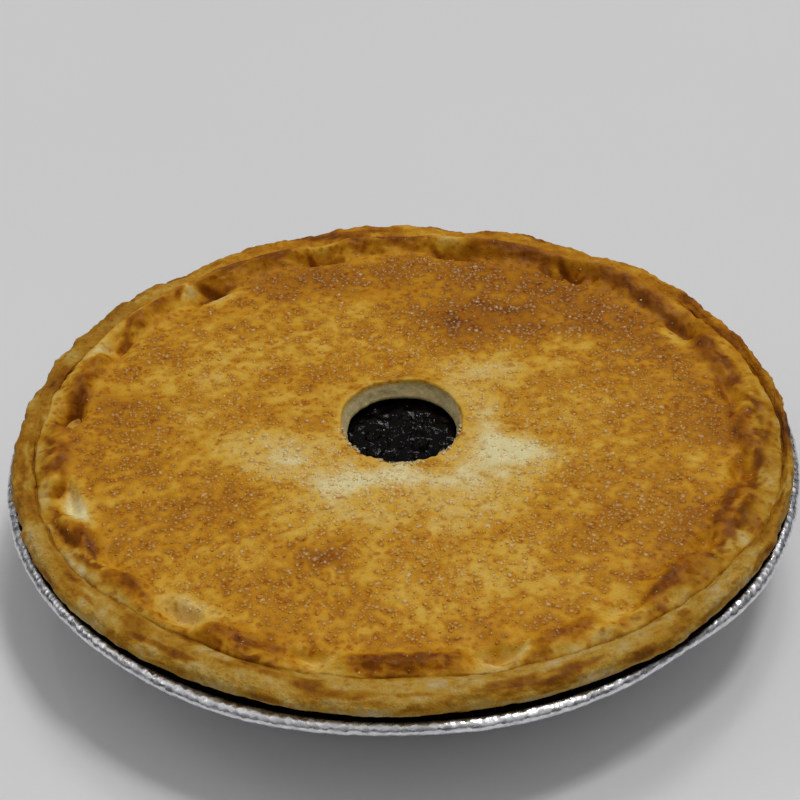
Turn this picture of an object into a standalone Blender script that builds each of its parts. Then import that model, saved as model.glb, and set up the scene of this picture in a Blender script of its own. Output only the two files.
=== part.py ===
"""A whole blueberry pie in its foil tin: tin, bottom crust, blueberry filling and top crust with a vent hole.

The origin is the centre of the tin's base, +Z is up, and the front of the pie faces -Y. Sizes are in metres.
Every piece is turned round Z from an outline and then made uneven, as baked dough and thin foil are.
"""

import math

import bmesh
import bpy
import numpy as np
from mathutils import Matrix, Vector

# The foil tin, of the nominal 9 inch size
RIM_RADIUS = 0.1224
TIN_DEPTH = 0.0295
TIN_BASE_RADIUS = 0.0900
TIN_MOUTH_RADIUS = 0.1085
FOIL = 0.0004
BEAD_WIDTH = 0.0056
BEAD_HEIGHT = 0.0042
BEAD_LIFT = 0.0004
FLANGE_LENGTH = 0.0085
FLUTES = 42
FLUTE_DEPTH = 0.0005

# Gaps between pieces, and the thickness of the dough in the tin
GAP = 0.0005
DOUGH = 0.0036

# The bottom crust: the ledge that carries the lid's edge, and the rounded band outside it
LEDGE_HEIGHT = 0.0332
LEDGE_START = 0.0985
FLOOR_RADIUS = 0.0850
CRUST_RADIUS = 0.1204
CRUST_TOP = 0.0400
CRUST_FORWARD = 0.0012
BAND_MIDDLE = 0.0365
BAND_ROUND = 0.0037
BAND_START = 0.1145
BAND_FOOT_RADIUS = 0.1140
CREASE_TOP = 0.0386

# At the back of the pie the rim is folded higher, and the ridge stands further out
BACK_START = 0.15
BACK_FULL = 0.75
BACK_RISE = 0.0012
BACK_LIFT = 0.0008
BACK_CREST = 0.0034

# The crease between the two crusts isn't quite round
CREASE_RADIUS = 0.1120
CREASE_OVAL = 0.0028
CREASE_OFFSET = 0.0016

# The top crust: a low dome with a vent hole, and a thumbed ridge inside the crease
DOME_RADIUS = 0.1000
LID_CROWN = 0.0434
LID_FALL = 0.0044
LID_SAG = 0.0009
SAG_LENGTH = 0.0160
LID_THICKNESS = 0.0052
LID_EDGE_SIDE = 0.0370
LID_EDGE_DROP = 0.0004
RIM_START = 0.0960
RIDGE_RADIUS = 0.1058
RIDGE_HEIGHT = 0.0029
RIDGE_INNER_WIDTH = 0.0034
RIDGE_OUTER_WIDTH = 0.0060
CREST_SWING = 0.7
MARK_MIDDLE = 0.0018
MARK_INNER = 0.0024
MARK_OUTER = 0.0050
VENT_RADIUS = 0.0187
VENT_STRETCH = 0.075
VENT_FOOT_RADIUS = 0.0169
VENT_FOOT_HEIGHT = 0.0378
VENT_EDGE_DROP = 0.0005
VENT_REACH = 0.0040

# Radii of the rings of points on the lid, closer together where the ridge and the thumb marks are
LID_RINGS = (VENT_RADIUS, 0.0202, 0.0250, 0.0450, 0.0700, 0.0900)
RIDGE_RINGS = (0.0960, 0.0988, 0.1010, 0.1032, 0.1056, 0.1080, 0.1103)
UNDER_RING = 0.0600

# Thumb marks round the rim: angle from +X, half width in degrees, depth, radius
THUMB_MARKS = (
    (8, 5.0, 0.0026, 0.1040),
    (29, 3.6, 0.0036, 0.1056),
    (56, 3.8, 0.0041, 0.1024),
    (78, 4.2, 0.0041, 0.1018),
    (104, 3.8, 0.0038, 0.1022),
    (128, 4.0, 0.0041, 0.1016),
    (150, 4.0, 0.0036, 0.1044),
    (172, 3.6, 0.0043, 0.1036),
    (195, 5.0, 0.0039, 0.1038),
    (214, 3.2, 0.0020, 0.1030),
    (232, 4.4, 0.0036, 0.1030),
    (255, 4.0, 0.0032, 0.1046),
    (284, 4.4, 0.0034, 0.1050),
    (306, 4.0, 0.0026, 0.1040),
    (327, 3.4, 0.0028, 0.1030),
    (347, 4.2, 0.0032, 0.1036),
)
MARK_LOWERS_RIDGE = 0.45
MARK_LOWERS_BAND = 0.12
MARK_LOWERS_BACK = 0.22

# Where the thin foil rim has been pushed out or in: angle, half width in degrees, distance
RIM_DENTS = (
    (246, 13, 0.0013),
    (284, 9, 0.0007),
    (309, 8, -0.0016),
    (328, 7, 0.0006),
)

# Uneven curves round the pie: seed, lowest and highest number of waves, size
CREASE_WAVES = (11, 3, 9, 0.0005)
LID_WAVES = (21, 1, 5, 0.0004)
RIDGE_WAVES = (31, 5, 24, 0.0006)
TIN_OUT_WAVES = (41, 2, 5, 0.0002)
TIN_UP_WAVES = (42, 2, 6, 0.0002)
BAND_OUT_WAVES = (51, 2, 20, 0.0005)
BAND_UP_WAVES = (52, 3, 22, 0.0004)
VENT_WAVES = (61, 2, 9, 0.012)

# The filling and the berries in its top
FILLING_TOP = 0.0366
FILLING_FOOT_RADIUS = 0.0844
FILLING_EDGE_RADIUS = 0.0974
BERRY_COUNT = 17
BERRY_RADIUS = 0.0040
BERRY_SPREAD = 0.0122
BERRY_TOP = 0.0386
BERRY_SINK = 0.0012
BERRY_SEED = 81

# The largest grains of the coarse sugar on the lid
SUGAR_COUNT = 80
SUGAR_SIZE = 0.0015
SUGAR_RISE = 0.15
SUGAR_SHAPE = (1.0, 0.85, 0.75)
SUGAR_INNER = 0.0240
SUGAR_OUTER = 0.0940
SUGAR_SEED = 71
GOLDEN_ANGLE = math.pi * (3 - math.sqrt(5))

# Steps of each turned piece
CRUST_STEPS = 120
TIN_STEPS = 2 * FLUTES
FILLING_STEPS = 48
BEAD_POINTS = 6
BAND_POINTS = 4


def wobble(angle, seed, lowest, highest, size):
    """A smooth uneven curve round the pie, as a sum of waves with seeded phases."""
    random = np.random.default_rng(seed)
    total = 0.0
    for wave in range(lowest, highest + 1):
        phase = random.uniform(0, 2 * math.pi)
        share = random.uniform(0.4, 1.0)
        total = total + share * np.cos(wave * angle + phase)
    return size * total / math.sqrt(highest - lowest + 1)


def bell(distance, width):
    """A smooth bump of height 1 at distance 0."""
    return np.exp(-((distance / width) ** 2))


def ramp(value, start, end):
    """Rises evenly from 0 at start to 1 at end."""
    return np.clip((value - start) / (end - start), 0, 1)


def turn_from(angle, degrees):
    """How far an angle is from a direction, in degrees from -180 to 180."""
    return (np.degrees(angle) - degrees + 180) % 360 - 180


def thumb_marks(angle):
    """How deep the thumb marks are at an angle, and the radius of the nearest."""
    deepest = 0.0 * angle
    middle = 0.0 * angle
    for at, half_width, depth, radius in THUMB_MARKS:
        here = depth * bell(turn_from(angle, at), half_width)
        middle = np.where(here >= deepest, radius, middle)
        deepest = np.maximum(deepest, here)
    return deepest, middle


def backward(angle):
    """Rises from 0 at the sides of the pie to 1 at its back."""
    return ramp(np.sin(angle), BACK_START, BACK_FULL)


def band_rise(angle):
    """How much higher or lower the rim's band is at an angle."""
    lowering = (MARK_LOWERS_BAND + MARK_LOWERS_BACK * backward(angle)) * thumb_marks(angle)[0]
    return wobble(angle, *BAND_UP_WAVES) + BACK_RISE * backward(angle) - lowering


def rim_shift(radius, angle):
    """How far a point of the crust moves out with the crease: nothing on the lid, all of it at the crease."""
    oval = CREASE_OVAL * np.cos(2 * angle) + CREASE_OFFSET * np.cos(angle)
    return ramp(radius, RIM_START, CREASE_RADIUS) ** 2 * (oval + wobble(angle, *CREASE_WAVES))


def dome_height(radius):
    """The even dome of the lid's top."""
    return LID_CROWN - LID_FALL * (radius / DOME_RADIUS) ** 2


def top_height(radius, angle):
    """The top of the top crust: the dome, uneven and sagging before the vent, then the marks and the ridge."""
    sag = LID_SAG * bell(radius - VENT_RADIUS, SAG_LENGTH) * np.sin(angle)
    swell = wobble(angle, *LID_WAVES) * np.sin(math.pi * ramp(radius, 0, DOME_RADIUS))
    mark, middle = thumb_marks(angle)
    crest = RIDGE_RADIUS + BACK_CREST * backward(angle) + CREST_SWING * (mark - MARK_MIDDLE)
    lift = RIDGE_HEIGHT + BACK_LIFT * backward(angle) + wobble(angle, *RIDGE_WAVES) - MARK_LOWERS_RIDGE * mark
    ridge = lift * bell(radius - crest, np.where(radius < crest, RIDGE_INNER_WIDTH, RIDGE_OUTER_WIDTH))
    hollow = mark * bell(radius - middle, np.where(radius < middle, MARK_INNER, MARK_OUTER))
    return dome_height(radius) + sag + swell + ridge - hollow


def collection(name):
    made = bpy.data.collections.new(name)
    bpy.context.scene.collection.children.link(made)
    return made


def material(name, colour, roughness, metallic=0.0):
    made = bpy.data.materials.new(name)
    made.use_nodes = True
    shader = made.node_tree.nodes["Principled BSDF"]
    shader.inputs["Base Color"].default_value = (*colour, 1.0)
    shader.inputs["Roughness"].default_value = roughness
    shader.inputs["Metallic"].default_value = metallic
    return made


def apply_modifiers(obj):
    """Gives an object the mesh that its modifiers make, and removes them."""
    bpy.context.view_layer.update()
    graph = bpy.context.evaluated_depsgraph_get()
    mesh = bpy.data.meshes.new_from_object(obj.evaluated_get(graph))
    old = obj.data
    obj.modifiers.clear()
    obj.data = mesh
    bpy.data.meshes.remove(old)


def turned(name, outline, steps, closed, home, look):
    """A solid turned round Z. The outline lists (radius, height) down its outer side, and a closed one makes a ring."""
    count = len(outline)
    edges = [(i, i + 1) for i in range(count - 1)]
    if closed:
        edges.append((count - 1, 0))
    mesh = bpy.data.meshes.new(name)
    mesh.from_pydata([(radius, 0, height) for radius, height in outline], edges, [])
    obj = bpy.data.objects.new(name, mesh)
    home.objects.link(obj)
    screw = obj.modifiers.new("Turn", "SCREW")
    screw.axis = "Z"
    screw.steps = steps
    screw.render_steps = steps
    screw.use_merge_vertices = True
    screw.merge_threshold = 0.00001
    apply_modifiers(obj)
    obj.data.materials.append(look)
    return obj


def reshape(obj, place):
    """Moves every point of a turned solid: place(radius, angle, height) gives its new radius and height."""
    points = np.array([vertex.co for vertex in obj.data.vertices])
    radius = np.hypot(points[:, 0], points[:, 1])
    angle = np.arctan2(points[:, 1], points[:, 0])
    new_radius, new_height = place(radius, angle, points[:, 2])
    moved = np.stack([new_radius * np.cos(angle), new_radius * np.sin(angle), new_height], axis=1)
    obj.data.vertices.foreach_set("co", moved.astype(np.float32).ravel())
    obj.data.update()


def shade(obj):
    obj.data.shade_smooth()
    obj.data.set_sharp_from_angle(angle=math.radians(50))


def fuse(obj, others):
    """Fuses the objects of a collection onto obj, then removes them."""
    union = obj.modifiers.new("Fuse", "BOOLEAN")
    union.operation = "UNION"
    union.operand_type = "COLLECTION"
    union.collection = others
    union.solver = "MANIFOLD"
    apply_modifiers(obj)
    for other in list(others.objects):
        bpy.data.objects.remove(other)
    bpy.data.collections.remove(others)


def arc(middle, half_size, start, turn, points):
    """Points along an oval arc, by (radius, height) of its middle and its half width and half height."""
    outline = []
    for index in range(points):
        around = math.radians(start - turn * index)
        across = middle[0] + half_size[0] * math.cos(around)
        outline.append((across, middle[1] + half_size[1] * math.sin(around)))
    return outline


def make_tin(home):
    """The foil tin: flat base, fluted sloping wall, narrow flange and a curled bead round its rim."""
    wall_middle = (TIN_BASE_RADIUS + TIN_MOUTH_RADIUS) / 2
    bead_middle = (RIM_RADIUS - BEAD_WIDTH / 2, TIN_DEPTH + BEAD_LIFT)
    outline = [(0.0, FOIL), (TIN_BASE_RADIUS, FOIL), (wall_middle, TIN_DEPTH / 2)]
    outline += [(TIN_MOUTH_RADIUS, TIN_DEPTH), (TIN_MOUTH_RADIUS + FLANGE_LENGTH, TIN_DEPTH)]
    outline += arc(bead_middle, (BEAD_WIDTH / 2, BEAD_HEIGHT / 2), 150, 52, BEAD_POINTS)
    outline += [(TIN_MOUTH_RADIUS + FOIL, TIN_DEPTH - FOIL), (wall_middle + FOIL, TIN_DEPTH / 2)]
    outline += [(TIN_BASE_RADIUS + FOIL, 0.0), (0.0, 0.0)]
    tin = turned("tin", outline, TIN_STEPS, False, home, material("Foil", (0.80, 0.80, 0.81), 0.30, 1.0))

    def place(radius, angle, height):
        wall = ramp(radius, TIN_BASE_RADIUS - FOIL, TIN_MOUTH_RADIUS)
        on_wall = (wall > 0) & (radius < TIN_MOUTH_RADIUS + 2 * FOIL)
        flute = FLUTE_DEPTH * np.sin(math.pi * (0.1 + 0.75 * wall)) * (1 + np.cos(FLUTES * angle)) / 2
        on_rim = ramp(radius, TIN_MOUTH_RADIUS, RIM_RADIUS)
        dent = wobble(angle, *TIN_OUT_WAVES)
        for at, half_width, distance in RIM_DENTS:
            dent = dent + distance * bell(turn_from(angle, at), half_width)
        return radius + np.where(on_wall, flute, 0) + on_rim * dent, height + on_rim * wobble(angle, *TIN_UP_WAVES)

    reshape(tin, place)
    shade(tin)


def make_bottom_crust(home):
    """The bottom crust: base, sloping wall, the ledge under the lid's edge, and the rounded band outside it."""
    base = FOIL + GAP
    underside = TIN_DEPTH + GAP
    outline = [(0.0, base + DOUGH), (FLOOR_RADIUS, base + DOUGH), (LEDGE_START, LEDGE_HEIGHT)]
    outline += [(CREASE_RADIUS, LEDGE_HEIGHT), (CREASE_RADIUS + 0.0002, CREASE_TOP)]
    outline += [(CREASE_RADIUS + 0.0012, CRUST_TOP - 0.0003), (CREASE_RADIUS + 0.0032, CRUST_TOP)]
    band_middle = (CRUST_RADIUS - BAND_ROUND, BAND_MIDDLE)
    outline += arc(band_middle, (BAND_ROUND, BAND_ROUND), 55, 43, BAND_POINTS)
    outline += [(BAND_FOOT_RADIUS, underside + 2 * GAP), (TIN_MOUTH_RADIUS - 0.0006, underside)]
    outline += [(TIN_BASE_RADIUS - 0.0008, base), (0.0, base)]
    look = material("Bottom crust", (0.62, 0.38, 0.13), 0.6)
    crust = turned("bottom_crust", outline, CRUST_STEPS, False, home, look)

    def place(radius, angle, height):
        above_tin = height > underside + 3 * GAP
        with_crease = rim_shift(radius, angle) * ramp(radius, CRUST_RADIUS, CREASE_RADIUS + 0.0012)
        bulge = ramp(radius, BAND_START, CRUST_RADIUS) * (wobble(angle, *BAND_OUT_WAVES) - CRUST_FORWARD * np.sin(angle))
        on_band = (radius > CREASE_RADIUS - GAP) * ramp(height, LEDGE_HEIGHT, CREASE_TOP)
        return radius + np.where(above_tin, with_crease + bulge, 0), height + on_band * band_rise(angle)

    reshape(crust, place)
    shade(crust)


def make_top_crust(home):
    """The top crust: a domed lid with a vent hole, and a thumbed ridge that ends at the crease."""
    edge = CREASE_RADIUS - GAP
    under_rim = LEDGE_HEIGHT + GAP
    raised = 2 * LID_CROWN
    outline = [(radius, raised) for radius in LID_RINGS + RIDGE_RINGS]
    outline += [(edge - 0.0003, raised), (edge, LID_EDGE_SIDE)]
    outline += [(edge, under_rim), (RIM_START, under_rim)]
    outline += [(UNDER_RING, dome_height(UNDER_RING) - LID_THICKNESS)]
    outline += [(VENT_FOOT_RADIUS + 0.0006, VENT_FOOT_HEIGHT), (VENT_FOOT_RADIUS, VENT_FOOT_HEIGHT + 0.0012)]
    look = material("Top crust", (0.58, 0.29, 0.06), 0.45)
    crust = turned("top_crust", outline, CRUST_STEPS, True, home, look)

    def place(radius, angle, height):
        vent_drop = VENT_EDGE_DROP * (radius < VENT_RADIUS + 0.0002)
        edge_drop = LID_EDGE_DROP * (radius > edge - 0.0004)
        top = top_height(radius, angle) - vent_drop - edge_drop
        near_vent = np.where(radius < UNDER_RING / 2, bell(radius - VENT_RADIUS, VENT_REACH), 0)
        stretch = near_vent * (VENT_STRETCH * np.sin(angle) ** 2 + wobble(angle, *VENT_WAVES))
        new_radius = (radius + rim_shift(radius, angle)) * (1 + stretch)
        return new_radius, np.where(height > LID_CROWN, top, height)

    reshape(crust, place)
    fuse(crust, sugar_grains())
    shade(crust)


def sugar_grains():
    """The largest sugar grains on the lid: small blocks, turned every way, half sunk in the crust."""
    grains = collection("Sugar grains")
    random = np.random.default_rng(SUGAR_SEED)
    for index in range(SUGAR_COUNT):
        share = (index + 0.5) / SUGAR_COUNT
        radius = math.sqrt(SUGAR_INNER**2 + share * (SUGAR_OUTER**2 - SUGAR_INNER**2))
        angle = (index * GOLDEN_ANGLE + random.uniform(-0.2, 0.2)) % (2 * math.pi)
        size = SUGAR_SIZE * random.uniform(0.8, 1.25)
        axis = Vector(random.normal(size=3)).normalized()
        height = top_height(radius, angle) + SUGAR_RISE * size
        place = Matrix.Translation((radius * math.cos(angle), radius * math.sin(angle), height))
        spin = Matrix.Rotation(random.uniform(0, math.pi), 4, axis)
        shape = Matrix.Diagonal((*(size * side for side in SUGAR_SHAPE), 1))
        cage = bmesh.new()
        bmesh.ops.create_cube(cage, size=1.0, matrix=place @ spin @ shape)
        add_mesh(cage, "Sugar grain", grains)
    return grains


def make_filling(home):
    """The filling: all that the crust holds, with the berries that show in the vent hole fused on top."""
    floor = FOIL + GAP + DOUGH + GAP
    outline = [(0.0, FILLING_TOP), (VENT_FOOT_RADIUS, FILLING_TOP), (UNDER_RING / 2, FILLING_TOP)]
    outline += [(radius, dome_height(radius) - LID_THICKNESS - GAP) for radius in (UNDER_RING, LID_RINGS[-1])]
    outline += [(RIM_START - 0.0012, LEDGE_HEIGHT - 0.0003), (FILLING_EDGE_RADIUS, LEDGE_HEIGHT - 0.0008)]
    outline += [(FILLING_FOOT_RADIUS, floor), (0.0, floor)]
    look = material("Blueberry filling", (0.012, 0.008, 0.014), 0.12)
    filling = turned("blueberry_filling", outline, FILLING_STEPS, False, home, look)
    fuse(filling, berries())
    shade(filling)


def berries():
    """The blueberries under the vent hole, spread by the golden angle and uneven in size and height."""
    heap = collection("Berries")
    random = np.random.default_rng(BERRY_SEED)
    for index in range(BERRY_COUNT):
        radius = BERRY_SPREAD * math.sqrt((index + 0.5) / BERRY_COUNT)
        angle = index * GOLDEN_ANGLE + random.uniform(-0.25, 0.25)
        size = BERRY_RADIUS * random.uniform(0.82, 1.12)
        height = BERRY_TOP - size - random.uniform(0, BERRY_SINK)
        place = Matrix.Translation((radius * math.cos(angle), radius * math.sin(angle), height))
        squash = Matrix.Diagonal((size, size, size * random.uniform(0.75, 0.95), 1))
        ball = bmesh.new()
        bmesh.ops.create_icosphere(ball, subdivisions=2, radius=1.0, matrix=place @ squash)
        add_mesh(ball, "Berry", heap)
    return heap


def add_mesh(shape, name, home):
    """Makes an object of a bmesh in a collection, and frees the bmesh."""
    mesh = bpy.data.meshes.new(name)
    shape.to_mesh(mesh)
    shape.free()
    home.objects.link(bpy.data.objects.new(name, mesh))


def main():
    for obj in list(bpy.data.objects):
        bpy.data.objects.remove(obj)
    pie = collection("Blueberry pie")
    make_tin(pie)
    make_bottom_crust(pie)
    make_filling(pie)
    make_top_crust(pie)


main()
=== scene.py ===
"""The looks of the blueberry pie: browned crusts, sugar grains, wet filling and a crinkled foil tin."""

import math

import bpy
import numpy as np
from mathutils import Matrix, Vector


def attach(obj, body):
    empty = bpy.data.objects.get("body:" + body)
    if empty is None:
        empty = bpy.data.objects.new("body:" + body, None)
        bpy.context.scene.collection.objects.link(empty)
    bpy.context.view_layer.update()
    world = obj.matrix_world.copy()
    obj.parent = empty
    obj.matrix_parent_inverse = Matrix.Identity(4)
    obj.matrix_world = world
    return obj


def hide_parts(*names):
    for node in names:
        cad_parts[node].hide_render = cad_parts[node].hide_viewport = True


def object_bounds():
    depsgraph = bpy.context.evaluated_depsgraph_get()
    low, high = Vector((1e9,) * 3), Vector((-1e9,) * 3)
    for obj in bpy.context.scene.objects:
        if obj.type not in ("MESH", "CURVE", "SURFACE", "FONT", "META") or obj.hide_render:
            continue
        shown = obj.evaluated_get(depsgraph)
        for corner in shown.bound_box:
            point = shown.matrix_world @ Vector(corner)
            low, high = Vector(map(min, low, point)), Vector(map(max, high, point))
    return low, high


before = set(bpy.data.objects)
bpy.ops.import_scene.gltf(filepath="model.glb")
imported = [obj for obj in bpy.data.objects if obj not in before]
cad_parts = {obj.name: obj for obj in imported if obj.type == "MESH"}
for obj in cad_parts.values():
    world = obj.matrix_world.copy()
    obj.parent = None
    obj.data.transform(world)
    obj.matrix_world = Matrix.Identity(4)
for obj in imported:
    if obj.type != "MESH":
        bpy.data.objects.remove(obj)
cad_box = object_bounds()

# The tin, as its solid has it
RIM_RADIUS = 0.1224
TIN_DEPTH = 0.0295
TIN_BASE_RADIUS = 0.09
TIN_MOUTH_RADIUS = 0.1085
FOIL = 0.0004
BEAD_WIDTH = 0.0056
BEAD_HEIGHT = 0.0042
BEAD_LIFT = 0.0004
FLANGE_LENGTH = 0.0085
FLUTES = 42
FLUTE_DEPTH = 0.0005

# Dents of the tin's rim: angle, half width in degrees, distance outwards
RIM_DENTS = ((246, 13, 0.0013), (284, 9, 0.0007), (309, 8, -0.0016), (328, 7, 0.0006))

# The two crusts, as their solids have them
GAP = 0.0005
DOUGH = 0.0036
LEDGE_HEIGHT = 0.0332
LEDGE_START = 0.0985
FLOOR_RADIUS = 0.085
CRUST_RADIUS = 0.1204
CRUST_TOP = 0.04
CRUST_FORWARD = 0.0012
BAND_MIDDLE = 0.0365
BAND_ROUND = 0.0037
BAND_START = 0.1145
BAND_FOOT_RADIUS = 0.114
CREASE_TOP = 0.0386
BACK_START = 0.15
BACK_FULL = 0.75
BACK_RISE = 0.0012
BACK_LIFT = 0.0008
BACK_CREST = 0.0034
CREASE_RADIUS = 0.112
CREASE_OVAL = 0.0028
CREASE_OFFSET = 0.0016
DOME_RADIUS = 0.1
LID_CROWN = 0.0434
LID_FALL = 0.0044
LID_SAG = 0.0009
SAG_LENGTH = 0.016
LID_THICKNESS = 0.0052
LID_EDGE_SIDE = 0.037
LID_EDGE_DROP = 0.0004
RIM_START = 0.096
RIDGE_RADIUS = 0.1058
RIDGE_HEIGHT = 0.0029
RIDGE_INNER_WIDTH = 0.0034
RIDGE_OUTER_WIDTH = 0.006
CREST_SWING = 0.7
MARK_MIDDLE = 0.0018
MARK_INNER = 0.0024
MARK_OUTER = 0.005
MARK_LOWERS_RIDGE = 0.45
MARK_LOWERS_BAND = 0.12
MARK_LOWERS_BACK = 0.22
VENT_RADIUS = 0.0187
VENT_STRETCH = 0.075
VENT_FOOT_RADIUS = 0.0169
VENT_FOOT_HEIGHT = 0.0378
VENT_REACH = 0.004
UNDER_RING = 0.06

# Thumb marks in the rim: angle, half width in degrees, depth, radius
THUMB_MARKS = (
    (8, 5.0, 0.0026, 0.104),
    (29, 3.6, 0.0036, 0.1056),
    (56, 3.8, 0.0041, 0.1024),
    (78, 4.2, 0.0041, 0.1018),
    (104, 3.8, 0.0038, 0.1022),
    (128, 4.0, 0.0041, 0.1016),
    (150, 4.0, 0.0036, 0.1044),
    (172, 3.6, 0.0043, 0.1036),
    (195, 5.0, 0.0039, 0.1038),
    (214, 3.2, 0.002, 0.103),
    (232, 4.4, 0.0036, 0.103),
    (255, 4.0, 0.0032, 0.1046),
    (284, 4.4, 0.0034, 0.105),
    (306, 4.0, 0.0026, 0.104),
    (327, 3.4, 0.0028, 0.103),
    (347, 4.2, 0.0032, 0.1036),
)

# Uneven curves round the pie: seed, lowest and highest number of waves, size
CREASE_WAVES = (11, 3, 9, 0.0005)
LID_WAVES = (21, 1, 5, 0.0004)
RIDGE_WAVES = (31, 5, 24, 0.0006)
TIN_OUT_WAVES = (41, 2, 5, 0.0002)
TIN_UP_WAVES = (42, 2, 6, 0.0002)
BAND_OUT_WAVES = (51, 2, 20, 0.0005)
BAND_UP_WAVES = (52, 3, 22, 0.0004)
VENT_WAVES = (61, 2, 9, 0.012)

# The filling, as its solid has it
FILLING_TOP = 0.0366
FILLING_FOOT_RADIUS = 0.0844
FILLING_EDGE_RADIUS = 0.0974
BERRY_COUNT = 17
BERRY_RADIUS = 0.004
BERRY_SPREAD = 0.0122
BERRY_TOP = 0.0386
BERRY_SINK = 0.0012
BERRY_SEED = 81
GOLDEN_ANGLE = math.pi * (3 - math.sqrt(5))

# Browning of the crust from 0, raw cream, to 1, scorched: the crust's own colours, linear
BROWNING = (
    (0.00, (0.745, 0.645, 0.335)),
    (0.18, (0.685, 0.455, 0.116)),
    (0.32, (0.655, 0.372, 0.039)),
    (0.44, (0.56, 0.252, 0.011)),
    (0.6, (0.415, 0.158, 0.005)),
    (0.78, (0.3, 0.094, 0.003)),
    (0.9, (0.195, 0.056, 0.003)),
    (1.00, (0.14, 0.04, 0.004)),
)

# Browning of the plain lid, and the most that any of it reaches
LID_BROWNING = 0.335
MOST_BROWNING = 0.9

# Colours that multiply the crust's own: the ridge's front slope, the band in front and behind, the raw wall.
# The front slope and the front band are greyer and darker, partly painted shade on the side away from the
# lamps
SLOPE_TINT = (0.78, 0.81, 1.04)
BAND_TINT = (0.75, 0.81, 1.4)
BACK_BAND_TINT = (0.98, 0.97, 1.0)
RAW_TINT = (0.86, 0.84, 0.88)
BLOT_TINT = (0.66, 0.42, 0.17, 1)

# How far the lid's edge sinks into the bottom crust's lip, and how nearly the lip comes up to it
LID_OVERLAP = 0.0002
LIP_MEETS_LID = 0.9
LIP_BELOW_LID = 0.0002

# The rounded edges of the lid: how far in from the edge, and how far below the top
VENT_LIP = ((0.0002, 0.0003), (0.00005, 0.0008))
OUTER_LIP = ((0.0006, 0.0), (0.0002, 0.00025))
LID_LAST_RING = 0.1112
LID_EDGE_TOP = 0.0382

# How far the dough rises, and how far it closes in, where the crease is closed
CREASE_RISE = 0.0008
CREASE_CLOSING = 0.0013

# Where the two crusts have baked together, so that no crease shows: angle, half width in degrees
CLOSED_CREASE = ((95, 66), (231, 13), (291, 11), (172, 9), (20, 7), (258, 6), (326, 6))

# Overlapping folds in the rim: angle, radius, half length along the rim, turn in degrees, height of the step
FOLDS = (
    (236, 0.1, 0.01, 12, 0.0007),
    (241, 0.105, 0.009, -8, 0.0006),
    (206, 0.104, 0.008, 20, 0.0006),
    (187, 0.106, 0.008, -15, 0.0006),
    (268, 0.107, 0.011, 4, 0.0006),
    (288, 0.102, 0.008, 25, 0.0007),
    (315, 0.107, 0.008, -12, 0.0005),
    (335, 0.105, 0.009, 10, 0.0007),
    (343, 0.1085, 0.007, -12, 0.0006),
    (155, 0.104, 0.007, 30, 0.0008),
    (142, 0.106, 0.006, -25, 0.0006),
    (118, 0.107, 0.008, 15, 0.0006),
    (66, 0.106, 0.008, -20, 0.0006),
    (38, 0.105, 0.007, 18, 0.0006),
    (14, 0.106, 0.008, -14, 0.0006),
)
FOLD_EDGE = 0.0004
FOLD_REACH = 0.0034

# Narrow creases where the rim's dough is pinched, darkened with painted shade: angle, radius, half length,
# turn, depth, painted shade
PINCHES = (
    (8, 0.113, 0.006, 5, 0.0006, 0.2),
    (30, 0.1086, 0.004, 31, 0.0013, 0.4),
    (57, 0.106, 0.0056, 31, 0.0027, 0.55),
    (79, 0.1012, 0.0036, 10, 0.0026, 0.5),
    (82, 0.104, 0.003, 50, 0.001, 0.3),
    (106, 0.104, 0.003, 58, 0.0022, 0.48),
    (103, 0.1016, 0.0036, 0, 0.0011, 0.3),
    (127, 0.1042, 0.0046, 50, 0.0034, 0.7),
    (133, 0.1084, 0.003, -30, 0.0018, 0.5),
    (121, 0.109, 0.004, -12, 0.0014, 0.4),
    (146, 0.1078, 0.005, -25, 0.0012, 0.36),
    (154, 0.105, 0.006, -60, 0.0008, 0.1),
    (171.5, 0.1052, 0.007, 22, 0.0026, 1.0),
    (174.5, 0.108, 0.003, -35, 0.0016, 0.5),
    (167, 0.1026, 0.003, -20, 0.0012, 0.4),
    (180, 0.109, 0.004, -30, 0.0008, 0.25),
    (187, 0.1062, 0.0034, 15, 0.0008, 0.3),
    (192, 0.1058, 0.0036, 40, 0.0026, 0.55),
    (205, 0.1094, 0.0095, -13, 0.0018, 0.55),
    (211, 0.1062, 0.004, -10, 0.0011, 0.35),
    (230, 0.1076, 0.005, 10, 0.0008, 0.1),
    (245, 0.1052, 0.005, -6, 0.001, 0.35),
    (269, 0.1038, 0.0098, 2, 0.0014, 0.36),
    (286, 0.104, 0.006, -35, 0.001, 0.1),
    (290, 0.1058, 0.005, -6, 0.0009, 0.24),
    (314, 0.1048, 0.0048, 4, 0.001, 0.36),
    (338, 0.1038, 0.008, 6, 0.0013, 0.4),
    (345, 0.107, 0.005, -20, 0.0009, 0.3),
    (356, 0.112, 0.005, 15, 0.0008, 0.4),
)
PINCH_WIDTH = 0.001
PINCH_SHADE = 0.0012

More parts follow.
